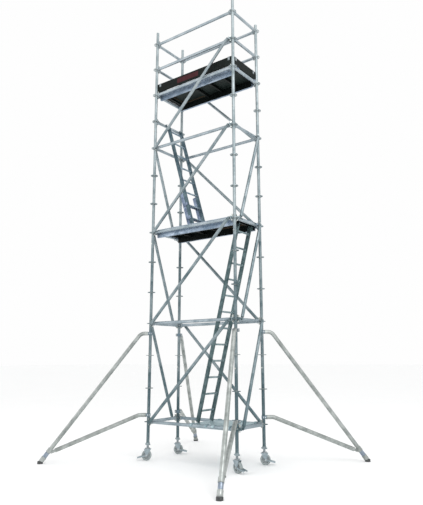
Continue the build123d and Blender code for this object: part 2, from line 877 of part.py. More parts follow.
def join_point(reach):
    """Where the strut's tube ends, beside the main tube and a little above the coupler."""
    down_x, down_z = main_slope(reach)
    up_tube = strut_join_back + strut_end_back
    x = reach - down_x * up_tube
    z = tip_axis_z - down_z * up_tube
    aside = outrigger_od + coupler_wall
    return x + down_z * aside, z - down_x * aside


def strut_tube(reach):
    join_x, join_z = join_point(reach)
    tube = bent_tube([(tube_start_x(), lower_clamp_z), (level_run, lower_clamp_z), (join_x, join_z)])
    return tube - strut_bolt_place(reach) * Cylinder(clamp_bolt_r + clamp_bolt_gap, outrigger_od)


def strut_end(reach):
    """Place of the strut's lower end, with its axis turned to -X, towards the standard."""
    join_x, join_z = join_point(reach)
    tilt = degrees(atan2(lower_clamp_z - join_z, join_x - level_run))
    return Pos(join_x, 0, join_z) * Rot(0, tilt, 0)


def strut_coupler(reach):
    """A collar round the main tube, with a tongue that runs into the strut's end."""
    down_x, down_z = main_slope(reach)
    tilt = degrees(atan2(down_x, down_z))
    main_x = reach - down_x * strut_join_back
    main_z = tip_axis_z - down_z * strut_join_back
    inner_r = outrigger_od / 2 + plug_gap
    outer_r = inner_r + coupler_wall
    collar_place = Pos(main_x, 0, main_z) * Rot(0, tilt, 0)
    tongue = strut_end(reach) * block((-coupler_tongue_in, outrigger_od + coupler_wall),
                                 (-coupler_tongue_thick / 2, coupler_tongue_thick / 2),
                                 (-coupler_tongue_half, coupler_tongue_half))
    body = collar_place * rod(outer_r, coupler_width, -coupler_width / 2) + tongue
    body -= collar_place * rod(inner_r, 2 * reach, -reach)
    return body - strut_bolt_place(reach) * Cylinder(clamp_bolt_r + clamp_bolt_gap, outrigger_od)


def strut_bolt_place(reach):
    return strut_end(reach) * Pos(-coupler_tongue_in / 2, 0, 0) * Rot(90, 0, 0)


def strut_bolt(reach):
    half = outrigger_od / 2 + clamp_bolt_gap
    bolt = rod(clamp_bolt_r, 2 * half, -half) + rod(bolt_head_r, bolt_head_thick, half)
    return strut_bolt_place(reach) * (bolt + rod(bolt_head_r, bolt_head_thick, -half - bolt_head_thick))


def clamp_pair(height_z):
    """Two half shells round the standard, with a plug that carries a tube's end, and a bolt."""
    inner_r = post_r + clamp_gap
    outer_r = inner_r + clamp_wall
    low_z = height_z - clamp_height / 2
    shell = pipe(outer_r, inner_r, clamp_height, low_z)
    ears = block((-ear_half_thick, ear_half_thick), (-outer_r - ear_reach, outer_r + ear_reach),
                 (low_z, low_z + clamp_height))
    ears -= rod(inner_r, clamp_height, low_z)
    shell += ears
    shell -= block((-clamp_split / 2, clamp_split / 2), (-2 * outer_r, 2 * outer_r),
                   (low_z, low_z + clamp_height))
    bolts = []
    for side in (-1, 1):
        y = side * (outer_r + ear_reach / 2)
        place = Pos(0, y, height_z)
        half = ear_half_thick
        shell -= place * Pos(-half, 0, 0) * along_x(rod(clamp_bolt_r + clamp_bolt_gap, 2 * half))
        bolt = along_x(rod(clamp_bolt_r, 2 * half + bolt_head_thick, -half - bolt_head_thick))
        bolt += along_x(rod(bolt_head_r, bolt_head_thick, -half - bolt_head_thick))
        bolt += along_x(rod(bolt_head_r, bolt_head_thick, half))
        bolts.append(place * bolt)
    plug_r = outrigger_od / 2 - outrigger_wall - plug_gap
    plug = Pos(0, 0, height_z) * along_x(rod(plug_r, plug_length + saddle_gap + outer_r, 0))
    plug -= rod(outer_r, clamp_height * 2, height_z - clamp_height)
    halves = shell.solids()
    near = max(halves, key=lambda half: half.center().X)
    far = min(halves, key=lambda half: half.center().X)
    return [near + plug, far, *bolts]


def outrigger_foot(reach):
    """Rubber pad with a socket on the main tube's axis."""
    down_x, down_z = main_slope(reach)
    tilt = degrees(atan2(down_x, down_z))
    pad_below = tip_axis_z - foot_pad_height / 2
    pad = Pos(reach - pad_below * down_x / down_z, 0, 0) * rod(foot_pad_r, foot_pad_height)
    pad = fillet(pad.edges().group_by(Axis.Z)[-1], foot_pad_round)
    inner_r = outrigger_od / 2 + foot_socket_gap
    outer_r = inner_r + foot_socket_wall
    end = Pos(reach, 0, tip_axis_z) * Rot(0, tilt, 0)
    lower = end * rod(outer_r, -pad_below / down_z)
    lower -= block((0, 2 * reach), (-outer_r, outer_r), (-tip_axis_z, 0))
    socket = end * pipe(outer_r, inner_r, foot_socket_length, -foot_socket_length)
    return pad + lower + socket


def outrigger_turn(corner):
    """Heading of the outrigger about its standard; opposite corners mirror each other."""
    headings = {
        "front_left": 180 + steep_turn,
        "rear_right": steep_turn,
        "front_right": -wide_turn,
        "rear_left": 180 - wide_turn,
    }
    return Rot(0, 0, headings[corner])


# ---------------------------------------------------------------- the whole tower
def save_corner(corner):
    place = at_corner(corner)
    caster_place = place * Rot(0, 0, caster_heading[corner])
    top_reach = short_post_top_reach if corner in short_topped else post_top_reach
    save(f"{corner}_standard", *[place * piece for piece in standard_sections(top_reach)])
    save(f"{corner}_jack_stem", place * jack_stem())
    save(f"{corner}_jack_nut", place * jack_nut())
    save(f"{corner}_caster_fork", caster_place * fork(), caster_place * axle())
    save(f"{corner}_caster_wheel", *[caster_place * piece for piece in wheel()])
    save(f"{corner}_brake_pedal", caster_place * pedal())
    turned = place * outrigger_turn(corner)
    clamps = clamp_pair(upper_clamp_z) + clamp_pair(lower_clamp_z)
    reach = reaches[corner]
    save(f"{corner}_outrigger_tube", turned * main_tube(reach))
    save(f"{corner}_outrigger_strut", turned * strut_tube(reach), turned * strut_coupler(reach),
         turned * strut_bolt(reach))
    save(f"{corner}_outrigger_clamps", *[turned * piece for piece in clamps])
    save(f"{corner}_outrigger_foot", turned * outrigger_foot(reach))


def save_platform(name, ring, side):
    save(f"{name}_frame", *platform_frame(ring, side))
    save(f"{name}_boards", *platform_boards(ring, side))
    save(f"{name}_hatch", *hatch(ring, side))


os.makedirs("parts", exist_ok=True)
for corner_name in corners:
    save_corner(corner_name)
save("long_ledgers", *ledgers(bay_length))
save("short_ledgers", *ledgers(bay_width))
save("long_braces", *braces(bay_length))
save("short_braces", *braces(bay_width))
save("ledger_wedges", *ledger_wedges())
save("brace_wedges", *brace_wedges())
save_platform("rest_platform", rest_ring, 1)
save_platform("deck", deck_ring, -1)
save("hatch_hinge_pins", *hinge_pins(rest_ring, 1), *hinge_pins(deck_ring, -1))
save("toe_boards", *toe_boards())
save("toe_board_clips", *toe_clips())
save("toe_board_label", toe_label())
save("base_planks", *base_planks())
save("lower_ladder", *lower_ladder())
save("upper_ladder", *upper_ladder())
save("upper_ladder_foot", *upper_ladder_foot())
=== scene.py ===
# %% [markdown]
# # A mobile tower scaffold
# The tower is a modular steel frame on casters, with a working deck, a rest platform, two ladders
# and four outriggers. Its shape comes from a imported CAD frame, in metres, with +Z up. This lesson
# gives it real finishes, adds small parts such as threads, weld beads and bolt heads, and then
# lights and frames it.

# %% Load the CAD frame
import json
import math
import bmesh
import bpy
from mathutils import Matrix, Vector


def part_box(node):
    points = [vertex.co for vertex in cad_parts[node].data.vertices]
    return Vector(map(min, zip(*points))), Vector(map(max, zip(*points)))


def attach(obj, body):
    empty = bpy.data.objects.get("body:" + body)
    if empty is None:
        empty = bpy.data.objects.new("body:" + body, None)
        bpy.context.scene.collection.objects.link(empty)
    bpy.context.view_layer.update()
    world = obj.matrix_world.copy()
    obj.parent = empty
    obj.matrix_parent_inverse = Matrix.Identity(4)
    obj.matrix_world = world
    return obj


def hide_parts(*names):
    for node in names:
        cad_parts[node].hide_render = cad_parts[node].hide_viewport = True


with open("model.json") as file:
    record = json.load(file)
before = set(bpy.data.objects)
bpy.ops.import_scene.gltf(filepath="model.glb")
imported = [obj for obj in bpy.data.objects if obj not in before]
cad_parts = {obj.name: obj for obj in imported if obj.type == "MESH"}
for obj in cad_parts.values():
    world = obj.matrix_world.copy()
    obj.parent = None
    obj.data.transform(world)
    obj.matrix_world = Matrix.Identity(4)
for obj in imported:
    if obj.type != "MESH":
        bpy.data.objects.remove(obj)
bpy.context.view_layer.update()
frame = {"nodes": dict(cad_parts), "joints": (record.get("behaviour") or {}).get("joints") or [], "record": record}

scene = bpy.context.scene
record = frame["record"]
joints = {joint["name"]: joint for joint in frame["joints"]}
corners = ("front_left", "rear_left", "front_right", "rear_right")

# %% [markdown]
# ## Camera
# The camera stands at chest height, fairly near for so tall a tower, and is tipped up a little. The
# lens is shifted slightly, as on a view camera, so that the posts keep their lean. A Track To
# constraint could aim it too, but a matrix built from its three axes says exactly where it looks.

# %% Place the camera
camera_stand = Vector((5.304, -6.828, 1.504))
camera_bearing = math.radians(36.18)
camera_rise = math.radians(13.13)
camera_roll = math.radians(-0.24)

ahead = Vector((-math.sin(camera_bearing) * math.cos(camera_rise),
                math.cos(camera_bearing) * math.cos(camera_rise), math.sin(camera_rise)))
side = ahead.cross(Vector((0, 0, 1))).normalized()
over = side.cross(ahead)
turned_side = math.cos(camera_roll) * side + math.sin(camera_roll) * over
turned_over = math.cos(camera_roll) * over - math.sin(camera_roll) * side

lens = bpy.data.cameras.new("camera")
lens.lens = 38.73
lens.sensor_width = 36.0
lens.shift_x = -0.0177
lens.shift_y = -0.0407
camera = bpy.data.objects.new("camera", lens)
axes = Matrix((turned_side, turned_over, -ahead)).transposed()
camera.matrix_world = Matrix.Translation(camera_stand) @ axes.to_4x4()
scene.collection.objects.link(camera)
scene.camera = camera
print("camera to tower:", round((camera_stand - Vector((0, 0, 3.6))).length, 2), "m")

# %% [markdown]
# ## Colour and node helpers
# Paint charts give sRGB hex values, but a shader works in linear light, so every colour passes
# through one conversion. Materials are node trees, and one small function adds any node: its
# settings go to a property or an input socket, and its links come from other nodes.

# %% Colours and nodes
def colour(code):
    """A #rrggbb sRGB colour as linear RGBA."""
    shares = [int(code[start:start + 2], 16) / 255 for start in (1, 3, 5)]
    return [s / 12.92 if s <= 0.04045 else ((s + 0.055) / 1.055) ** 2.4 for s in shares] + [1.0]


def add(tree, kind, settings=None, links=None):
    """Add a shader node, set its properties and inputs, and link its inputs to other outputs."""
    node = tree.nodes.new("ShaderNode" + kind)
    for key, value in (settings or {}).items():
        if isinstance(key, int) or key in node.inputs:
            node.inputs[key].default_value = value
        else:
            setattr(node, key, value)
    for key, output in (links or {}).items():
        tree.links.new(output, node.inputs[key])
    return node


def start_finish(name, metallic, ior=1.5, coat=0.0):
    """A new material's tree, its shader, and the CAD coordinates in metres."""
    material = bpy.data.materials.new(name)
    material.use_nodes = True
    tree = material.node_tree
    shader = tree.nodes["Principled BSDF"]
    shader.inputs["Metallic"].default_value = metallic
    shader.inputs["IOR"].default_value = ior
    shader.inputs["Coat Weight"].default_value = coat
    place = add(tree, "TexCoord").outputs["Object"]
    return material, tree, shader, place


def per_metre(millimetres):
    """The texture scale that repeats once in this many millimetres."""
    return 1000 / millimetres


def wave_scale(millimetres):
    """The wave texture's scale for bands this far apart; at scale 1 they are pi / 10 apart."""
    return math.pi / 10 * per_metre(millimetres)


def lay_over(tree, place, under, over, noise, spread, share):
    """Noise above the low end of spread lays the colour over, up to share, on under, which is a
    colour or a node. noise is a size in millimetres, a detail and a roughness."""
    patches = add(tree, "TexNoise",
                  {"Scale": per_metre(noise[0]), "Detail": noise[1], "Roughness": noise[2]},
                  {"Vector": place})
    cover = add(tree, "MapRange",
                {"From Min": spread[0], "From Max": spread[1], "To Min": 0.0, "To Max": share},
                {"Value": patches.outputs["Fac"]})
    mixed = add(tree, "Mix", {"data_type": "RGBA", 7: colour(over)}, {0: cover.outputs["Result"]})
    if isinstance(under, str):
        mixed.inputs[6].default_value = colour(under)
    else:
        tree.links.new(under.outputs[2], mixed.inputs[6])
    return patches, mixed


def end_finish(tree, shader, base, patches, gloss, texture, strength, depth):
    """Link the colour, a roughness that follows the patches, and relief from a fine texture."""
    roughness = add(tree, "MapRange",
                    {"From Min": 0.3, "From Max": 0.7, "To Min": gloss[0], "To Max": gloss[1]},
                    {"Value": patches.outputs["Fac"]})
    relief = add(tree, "Bump", {"Strength": strength, "Distance": depth}, {"Height": texture})
    tree.links.new(base.outputs[2], shader.inputs["Base Color"])
    tree.links.new(roughness.outputs["Result"], shader.inputs["Roughness"])
    tree.links.new(relief.outputs["Normal"], shader.inputs["Normal"])


print("mid grey #808080 is", round(colour("#808080")[0], 3), "in linear light")

# %% [markdown]
# ## Hot-dip galvanised steel
# The standards, ledgers, braces and clips are steel dipped in molten zinc. The zinc freezes in
# crystals, the spangle, 5 to 12 mm wide, that differ a little in brightness. Over years the
# surface dulls in blotches a hand wide and shows a few rust specks. An image of zinc would repeat
# on tubes this long, so Voronoi cells make the spangle and noise makes the blotches. The stepped
# range also makes the tubes darker towards the bottom, about 2 m at a time.

# %% Zinc coatings
def zinc_coating(name, fresh, dull, spangle_mm, blotch_mm, roughness, grain_mm, grain_depth,
                 lower_darkening_share=0.0, rust_share=0.0):
    material, tree, shader, place = start_finish(name, metallic=1.0)
    spangle = add(tree, "TexVoronoi", {"Scale": per_metre(spangle_mm)}, {"Vector": place})
    blotch = add(tree, "TexNoise",
                 {"Scale": per_metre(blotch_mm), "Detail": 6.0, "Roughness": 0.62}, {"Vector": place})
    height = add(tree, "SeparateXYZ", {}, {"Vector": place})
    # Darker towards the bottom, in steps, up to the given share of the dull colour
    stepped_darkening = add(tree, "MapRange",
                  {"interpolation_type": "STEPPED", "Steps": 3.0, "From Min": 7.3, "From Max": -0.7,
                   "To Min": 0.0, "To Max": lower_darkening_share}, {"Value": height.outputs["Z"]})
    uneven = add(tree, "MapRange",
                 {"From Min": 0.35, "From Max": 0.68, "To Min": -0.12, "To Max": 0.45},
                 {"Value": blotch.outputs["Fac"]})
    dulling = add(tree, "Math", {"operation": "ADD", "use_clamp": True},
              {0: stepped_darkening.outputs["Result"], 1: uneven.outputs["Result"]})
    zinc = add(tree, "Mix", {"data_type": "RGBA", 6: colour(fresh), 7: colour(dull)},
               {0: dulling.outputs["Value"]})
    crystal = add(tree, "MapRange", {"To Min": 0.86, "To Max": 1.1}, {"Value": spangle.outputs["Color"]})
    zinc = add(tree, "Mix", {"data_type": "RGBA", "blend_type": "MULTIPLY", 0: 1.0},
               {6: zinc.outputs[2], 7: crystal.outputs["Result"]})
    zinc = lay_over(tree, place, zinc, "#6b5647", (35, 4.0, 0.7), (0.66, 0.74), rust_share)[1]
    grain = add(tree, "TexNoise", {"Scale": per_metre(grain_mm), "Detail": 3.0}, {"Vector": place})
    end_finish(tree, shader, zinc, blotch, (roughness - 0.09, roughness + 0.13),
               grain.outputs["Fac"], 0.5, grain_depth / 1000)
    return material


zinc_finishes = {
    "standard_steel": zinc_coating("galvanised_posts", "#b0babd", "#62767c", 9, 240, 0.58, 4, 0.3,
                                   lower_darkening_share=0.85, rust_share=0.45),
    "ledger_steel": zinc_coating("galvanised_ledgers", "#b8c2c8", "#788b94", 9, 200, 0.5, 4, 0.3,
                                 lower_darkening_share=0.35, rust_share=0.4),
    "brace_steel": zinc_coating("galvanised_braces", "#adb7bb", "#657a80", 8, 180, 0.54, 4, 0.3,
                                lower_darkening_share=0.7, rust_share=0.4),
    "wedge_steel": zinc_coating("zinc_plated_wedges", "#c2c6c2", "#8b8f8a", 4, 40, 0.36, 9, 0.6,
                                rust_share=0.7),
    "clip_steel": zinc_coating("galvanised_strip", "#a3acb0", "#7b878b", 7, 60, 0.42, 3, 0.2),
    "pin_steel": zinc_coating("bright_zinc_pins", "#c6caca", "#9ba2a3", 3, 30, 0.3, 2, 0.1),
    "plank_steel": zinc_coating("galvanised_sheet", "#b9cdd2", "#8aa1a8", 11, 150, 0.5, 5, 0.4,
                                lower_darkening_share=0.35, rust_share=0.5),
    "jack_steel": zinc_coating("zinc_plated_screw", "#aeb6ba", "#6d757a", 3, 30, 0.34, 2, 0.15,
                               rust_share=0.5),
    "nut_iron": zinc_coating("galvanised_casting", "#a6b2b6", "#6e7c82", 6, 35, 0.58, 1.8, 0.7,
                             rust_share=0.6),
    "caster_steel": zinc_coating("zinc_plated_pressing", "#a9b6bc", "#75848c", 5, 45, 0.4, 3, 0.2,
                                 rust_share=0.5),
    "clamp_steel": zinc_coating("zinc_plated_forging", "#7f929e", "#5c6f7b", 4, 40, 0.45, 2.2, 0.6,
                                rust_share=0.5),
}
print("zinc finishes:", len(zinc_finishes))

# %% [markdown]
# ## Mill-finish aluminium
# Platform beams, ladder stiles and outrigger tubes are extruded aluminium. The die leaves fine
# lines along the length, and the bare metal takes on a soft grey oxide and blunt scuffs. Real die
# lines are too fine to show, so they are drawn 2 mm apart, as noise stretched along the length,
# which is less even than a wave texture. The inner side of a platform's frame gets a painted shade,
# near black, kept off the outer faces by how far a point lies from the frame's middle, and the
# ladders' stiles get a lighter painted shade.

# %% Painted shade by place
def paint_shade_inside(tree, shader, place, metal, half_sizes):
    """Painted shade, near black, within half_sizes of the middle along X and Y; returns the mixed colour."""
    position = add(tree, "SeparateXYZ", {}, {"Vector": place})
    within = []
    for axis, half_size in zip("XY", half_sizes):
        distance = add(tree, "Math", {"operation": "ABSOLUTE"}, {0: position.outputs[axis]})
        within.append(add(tree, "Math", {"operation": "LESS_THAN", 1: half_size},
                          {0: distance.outputs["Value"]}))
    inside = add(tree, "Math", {"operation": "MULTIPLY"},
                 {0: within[0].outputs["Value"], 1: within[1].outputs["Value"]})
    # Painted shade: a mottled near-black colour on the frame's inner faces and cross beams, where shadow falls
    shade_mottle = add(tree, "TexNoise", {"Scale": per_metre(120), "Detail": 5.0}, {"Vector": place})
    paint = add(tree, "Mix", {"data_type": "RGBA", 6: colour("#080c0b"), 7: colour("#121817")},
                {0: shade_mottle.outputs["Fac"]})
    bare = add(tree, "Math", {"operation": "SUBTRACT", 0: 1.0}, {1: inside.outputs["Value"]})
    tree.links.new(bare.outputs["Value"], shader.inputs["Metallic"])
    return add(tree, "Mix", {"data_type": "RGBA"},
               {0: inside.outputs["Value"], 6: metal.outputs[2], 7: paint.outputs[2]})


def shaded_stiles(tree, place, metal, stiles):
    """Darken the stiles with a painted shade; they stand further from the ladder's middle than the rungs reach."""
    middle, half_gap = stiles
    position = add(tree, "SeparateXYZ", {}, {"Vector": place})
    offset = add(tree, "Math", {"operation": "SUBTRACT", 1: middle}, {0: position.outputs["Y"]})
    distance = add(tree, "Math", {"operation": "ABSOLUTE"}, {0: offset.outputs["Value"]})
    stile = add(tree, "Math", {"operation": "GREATER_THAN", 1: half_gap}, {0: distance.outputs["Value"]})
    shade = add(tree, "Mix", {"data_type": "RGBA", 6: colour("#ffffff"), 7: colour("#a9b4b4")},
                {0: stile.outputs["Value"]})
    return add(tree, "Mix", {"data_type": "RGBA", "blend_type": "MULTIPLY", 0: 1.0},
               {6: metal.outputs[2], 7: shade.outputs[2]})


# %% Aluminium
def mill_aluminium(name, bright, oxide, line_axis, roughness, blotch_mm, painted_shade_inside=None,
                   stiles=None):
    """line_axis is the way the die lines run; painted_shade_inside is a half length and a half width of
    the middle that gets a painted shade; stiles is a ladder's middle in Y and half the distance
    between its stiles, which get a lighter painted shade."""
    material, tree, shader, place = start_finish(name, metallic=1.0)
    line_scale = [per_metre(2.0)] * 3
    line_scale["XYZ".index(line_axis)] = per_metre(400.0)
    stretched = add(tree, "Mapping", {"Scale": line_scale}, {"Vector": place})
    lines = add(tree, "TexNoise", {"Scale": 1.0, "Detail": 2.0}, {"Vector": stretched.outputs["Vector"]})
    patches, metal = lay_over(tree, place, bright, oxide, (blotch_mm, 6.0, 0.6), (0.38, 0.66), 1.0)
    drawn = add(tree, "MapRange", {"To Min": 0.86, "To Max": 1.12}, {"Value": lines.outputs["Fac"]})
    metal = add(tree, "Mix", {"data_type": "RGBA", "blend_type": "MULTIPLY", 0: 1.0},
                {6: metal.outputs[2], 7: drawn.outputs["Result"]})
    metal = lay_over(tree, place, metal, "#4d5558", (22, 5.0, 0.75), (0.6, 0.7), 0.4)[1]
    shader.inputs["Anisotropic"].default_value = 0.3
    # Painted shade inside the platform frame, with a weaker reflection
    if painted_shade_inside:
        metal = paint_shade_inside(tree, shader, place, metal, painted_shade_inside)
        shader.inputs["Specular IOR Level"].default_value = 0.15
    # Painted shade on the ladders' stiles, which are made darker than the rungs
    if stiles:
        metal = shaded_stiles(tree, place, metal, stiles)
    end_finish(tree, shader, metal, patches, (roughness - 0.08, roughness + 0.14),
               lines.outputs["Fac"], 0.4, 0.0002)
    return material


aluminium_finishes = {
    "platform_aluminium": mill_aluminium("aluminium_beams", "#aebccc", "#7f92a5", "X", 0.45, 120,
                                         painted_shade_inside=(0.789, 0.2508)),
    "ladder_aluminium": mill_aluminium("aluminium_ladders", "#a4b5b8", "#71868a", "Z", 0.5, 90,
                                       stiles=(0.0, 0.1545)),
    "outrigger_aluminium": mill_aluminium("aluminium_tubes", "#b6bbb9", "#939997", "Z", 0.46, 110),
    "ladder_foot": mill_aluminium("aluminium_foot_section", "#8d9bb0", "#5d6a80", "Z", 0.42, 90),
    "upper_ladder": mill_aluminium("aluminium_upper_ladder", "#a4b5bf", "#6f8494", "Z", 0.5, 90,
                                   stiles=(0.09, 0.1545)),
    "leg_sleeve": mill_aluminium("anodised_leg_sleeve", "#a0abb8", "#818d9b", "Z", 0.4, 60),
}
print("aluminium finishes:", len(aluminium_finishes))

# %% [markdown]
# ## Film-faced plywood
# The decks are birch plywood with a dark phenolic film, and a wire mesh about 6 mm across is pressed
# into the film, so that boots grip. The film is worn paler and duller where people walk, and the
# 1.4 mm plies show at the cut edges. Two crossed wave textures make the mesh, and a wave across the
# thickness makes the plies, mixed in by how far a face turns away from level. The film reflects
# like a plastic, so its IOR is about 1.55.

# %% Plywood decks
mesh_pitch_mm = 6
ply_mm = 1.4


def film_faced_plywood(name, film, worn, ply):
    material, tree, shader, place = start_finish(name, metallic=0.0, ior=1.55)
    shader.inputs["Specular IOR Level"].default_value = 0.15
    wires = []
    for direction in ("X", "Y"):
        turned = add(tree, "Mapping", {"Rotation": (0.0, 0.0, math.radians(45))}, {"Vector": place})
        wires.append(add(tree, "TexWave",
                         {"bands_direction": direction, "Scale": wave_scale(mesh_pitch_mm)},
                         {"Vector": turned.outputs["Vector"]}))
    mesh = add(tree, "Math", {"operation": "MAXIMUM"},
               {0: wires[0].outputs["Fac"], 1: wires[1].outputs["Fac"]})
    traffic, surface = lay_over(tree, place, film, worn, (260, 7.0, 0.65), (0.42, 0.72), 0.75)
    height = add(tree, "SeparateXYZ", {}, {"Vector": place})
    plies = add(tree, "TexWave",
                {"bands_direction": "Z", "Scale": wave_scale(2 * ply_mm), "Distortion": 0.6},
                {"Vector": place})
    edge = add(tree, "Mix", {"data_type": "RGBA", 6: colour("#2a211b"), 7: colour(ply)},
               {0: plies.outputs["Fac"]})
    facing = add(tree, "NewGeometry")
    upright = add(tree, "SeparateXYZ", {}, {"Vector": facing.outputs["Normal"]})
    level = add(tree, "Math", {"operation": "ABSOLUTE"}, {0: upright.outputs["Z"]})
    surface = add(tree, "Mix", {"data_type": "RGBA"},
                  {0: level.outputs["Value"], 6: edge.outputs[2], 7: surface.outputs[2]})
    end_finish(tree, shader, surface, traffic, (0.42, 0.72), mesh.outputs["Value"], 0.6, 0.0004)
    return material


plywood_names = {"film_faced_plywood": "film_faced_deck", "hatch_plywood": "film_faced_hatch"}
plywood_finishes = {slot: film_faced_plywood(name, "#18211f", "#2c3734", "#5c4c3b")
                    for slot, name in plywood_names.items()}
print("plywood finishes:", len(plywood_finishes))

# %% [markdown]
# ## Black painted timber
# The toe boards are sawn softwood planks under a satin black paint. Grain runs along each board and
# telegraphs through the paint, about 5 mm from ring to ring, and knocks have chipped the paint down to
# grey weathered wood. Noise stretched fifteen to one gives the grain, and the stretch is the
# same along X and Y, so that it suits the long boards and the end boards alike.

# %% Toe board paint
def painted_timber(name, paint, faded, bare):
    material, tree, shader, place = start_finish(name, metallic=0.0, ior=1.48, coat=0.02)
    shader.inputs["Coat Roughness"].default_value = 0.4
    shader.inputs["Specular IOR Level"].default_value = 0.12
    grain_scale = (per_metre(75), per_metre(75), per_metre(5))
    stretched = add(tree, "Mapping", {"Scale": grain_scale}, {"Vector": place})
    grain = add(tree, "TexNoise", {"Scale": 1.0, "Detail": 5.0, "Distortion": 0.4},
                {"Vector": stretched.outputs["Vector"]})
    dust, surface = lay_over(tree, place, paint, faded, (190, 6.0, 0.65), (0.4, 0.7), 0.8)
    surface = lay_over(tree, place, surface, bare, (28, 4.0, 0.8), (0.69, 0.71), 0.8)[1]
    end_finish(tree, shader, surface, dust, (0.4, 0.7), grain.outputs["Fac"], 0.5, 0.0006)
    return material


toe_board_paint = painted_timber("black_painted_timber", "#0e1412", "#1d2522", "#6c6658")
print("toe board paint ready")

# %% [markdown]
# ## Rubber, moulded core and vinyl
# The caster tyres are grey rubber round a hard moulded core, the outrigger feet are dark
# rubber boots, and a plain red-brown vinyl sheet is stuck to the front toe board. All are plastics
# with an IOR of about 1.5, and differ in how matt they are and in what marks them: floor dust on
# rubber, fading and shallow bubbles on the sheet. One finish takes those as values.

# %% Rubber and vinyl
def soft_plastic(name, body, dusty, dust_mm, roughness, texture_mm, texture_depth, specular=0.5):
    material, tree, shader, place = start_finish(name, metallic=0.0, ior=1.5)
    shader.inputs["Specular IOR Level"].default_value = specular
    dust, surface = lay_over(tree, place, body, dusty, (dust_mm, 7.0, 0.7), (0.4, 0.68), 0.85)
    texture = add(tree, "TexNoise", {"Scale": per_metre(texture_mm), "Detail": 3.0}, {"Vector": place})
    end_finish(tree, shader, surface, dust, (roughness - 0.1, roughness + 0.12),
               texture.outputs["Fac"], 0.5, texture_depth / 1000)
    return material


soft_finishes = {
    "wheel_tyre": soft_plastic("grey_tyre_rubber", "#8d989a", "#aab1ae", 30, 0.68, 1.2, 0.2),
    "foot_rubber": soft_plastic("dark_boot_rubber", "#45484a", "#686a68", 25, 0.75, 1.5, 0.3, 0.25),
    "label_vinyl": soft_plastic("red_brown_vinyl", "#3a1519", "#4a2428", 90, 0.45, 18, 0.5, 0.15),
    "wheel_core": soft_plastic("moulded_wheel_core", "#a9b1b3", "#868e8f", 25, 0.42, 2.0, 0.1),
}
finishes = {**zinc_finishes, **aluminium_finishes, **plywood_finishes, **soft_finishes,
            "toe_board_wood": toe_board_paint}
print("all finishes:", len(finishes))

# %% [markdown]
# ## Finishes on the CAD parts
# Each CAD part names a material slot in the record. The part keeps its shape, and only the
# material in its slot changes. The upper ladder and its short second section are given a bluer
# grey than the lower ladder, and the short section a darker one.

# %% Dress the CAD parts
ladder_finishes = {"upper_ladder_foot": "ladder_foot", "upper_ladder": "upper_ladder"}
for part in record["subparts"]:
    finish = ladder_finishes.get(part["node"], part["material_slot"])
    for material_slot in frame["nodes"][part["node"]].material_slots:
        material_slot.material = finishes[finish]
print("CAD parts dressed:", len(record["subparts"]))

# %% [markdown]
# ## Drawing small parts
# Bolts, beads, wheels and threads are mostly round, so a lathe helps most: a profile of radius and
# height is turned about an axis. Six steps make a hexagon and thirty-two a round. A screw modifier
# does the same for one profile, but bmesh puts many into one clean mesh. Edges that fold by more
# than 35 degrees are marked sharp, and the rest shade smoothly.

# %% Lathe, blocks and finished pieces
def along(axis, origin=(0, 0, 0)):
    """A matrix whose Z axis lies along axis, at origin."""
    return Matrix.Translation(origin) @ Vector(axis).to_track_quat("Z", "Y").to_matrix().to_4x4()


def lathe(shape, profile, place, steps=32):
    """Turn (radius, height) points about place's Z axis; a radius of 0 closes an end."""
    rings = []
    for radius, height in profile:
        if radius == 0:
            rings.append([shape.verts.new(place @ Vector((0, 0, height)))])
            continue
        turns = [2 * math.pi * step / steps for step in range(steps)]
        rings.append([shape.verts.new(place @ Vector((radius * math.cos(turn), radius * math.sin(turn),
                                                      height))) for turn in turns])
    for low, high in zip(rings, rings[1:]):
        for step in range(steps):
            after = (step + 1) % steps
            if len(low) == 1:
                shape.faces.new((low[0], high[after], high[step]))
            elif len(high) == 1:
                shape.faces.new((low[step], low[after], high[0]))
            else:
                shape.faces.new((low[step], low[after], high[after], high[step]))


def ring_bead(shape, radius, thick, place, steps=32, sides=6):
    """A closed bead of weld or rubber round place's Z axis."""
    rings = []
    for side_step in range(sides):
        turn = 2 * math.pi * side_step / sides
        rings.append((radius + thick * math.cos(turn), thick * math.sin(turn)))
    lathe(shape, rings + rings[:1], place, steps)


def bevelled_block(shape, low, high, place, bevel):
    """A block between two corners, with its edges rounded."""
    low, high = Vector(low), Vector(high)
    made = bmesh.ops.create_cube(shape, size=1.0)
    for vertex in made["verts"]:
        share = vertex.co + Vector((0.5, 0.5, 0.5))
        vertex.co = Vector(low[i] + share[i] * (high[i] - low[i]) for i in range(3))
    edges = list(dict.fromkeys(edge for vertex in made["verts"] for edge in vertex.link_edges))
    bevelled = bmesh.ops.bevel(shape, geom=edges, offset=bevel, segments=2, affect="EDGES")
    touched = {v for v in made["verts"] if v.is_valid} | set(bevelled["verts"])
    for vertex in touched:
        vertex.co = place @ vertex.co


def make_piece(name, shape, finish, body, stands_for=None):
    """Turn drawn geometry into a piece that rides on a body."""
    bmesh.ops.remove_doubles(shape, verts=shape.verts, dist=0.00002)
    bmesh.ops.dissolve_degenerate(shape, edges=shape.edges, dist=0.00001)
    bmesh.ops.recalc_face_normals(shape, faces=shape.faces)
    for face in shape.faces:
        face.smooth = True
    for edge in shape.edges:
        edge.smooth = edge.calc_face_angle(0.0) < math.radians(35)
    mesh = bpy.data.meshes.new(name)
    shape.to_mesh(mesh)
    shape.free()
    mesh.materials.append(finishes[finish])
    piece = bpy.data.objects.new(name, mesh)
    scene.collection.objects.link(piece)
    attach(piece, body)
    if stands_for:
        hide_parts(stands_for)
    return piece


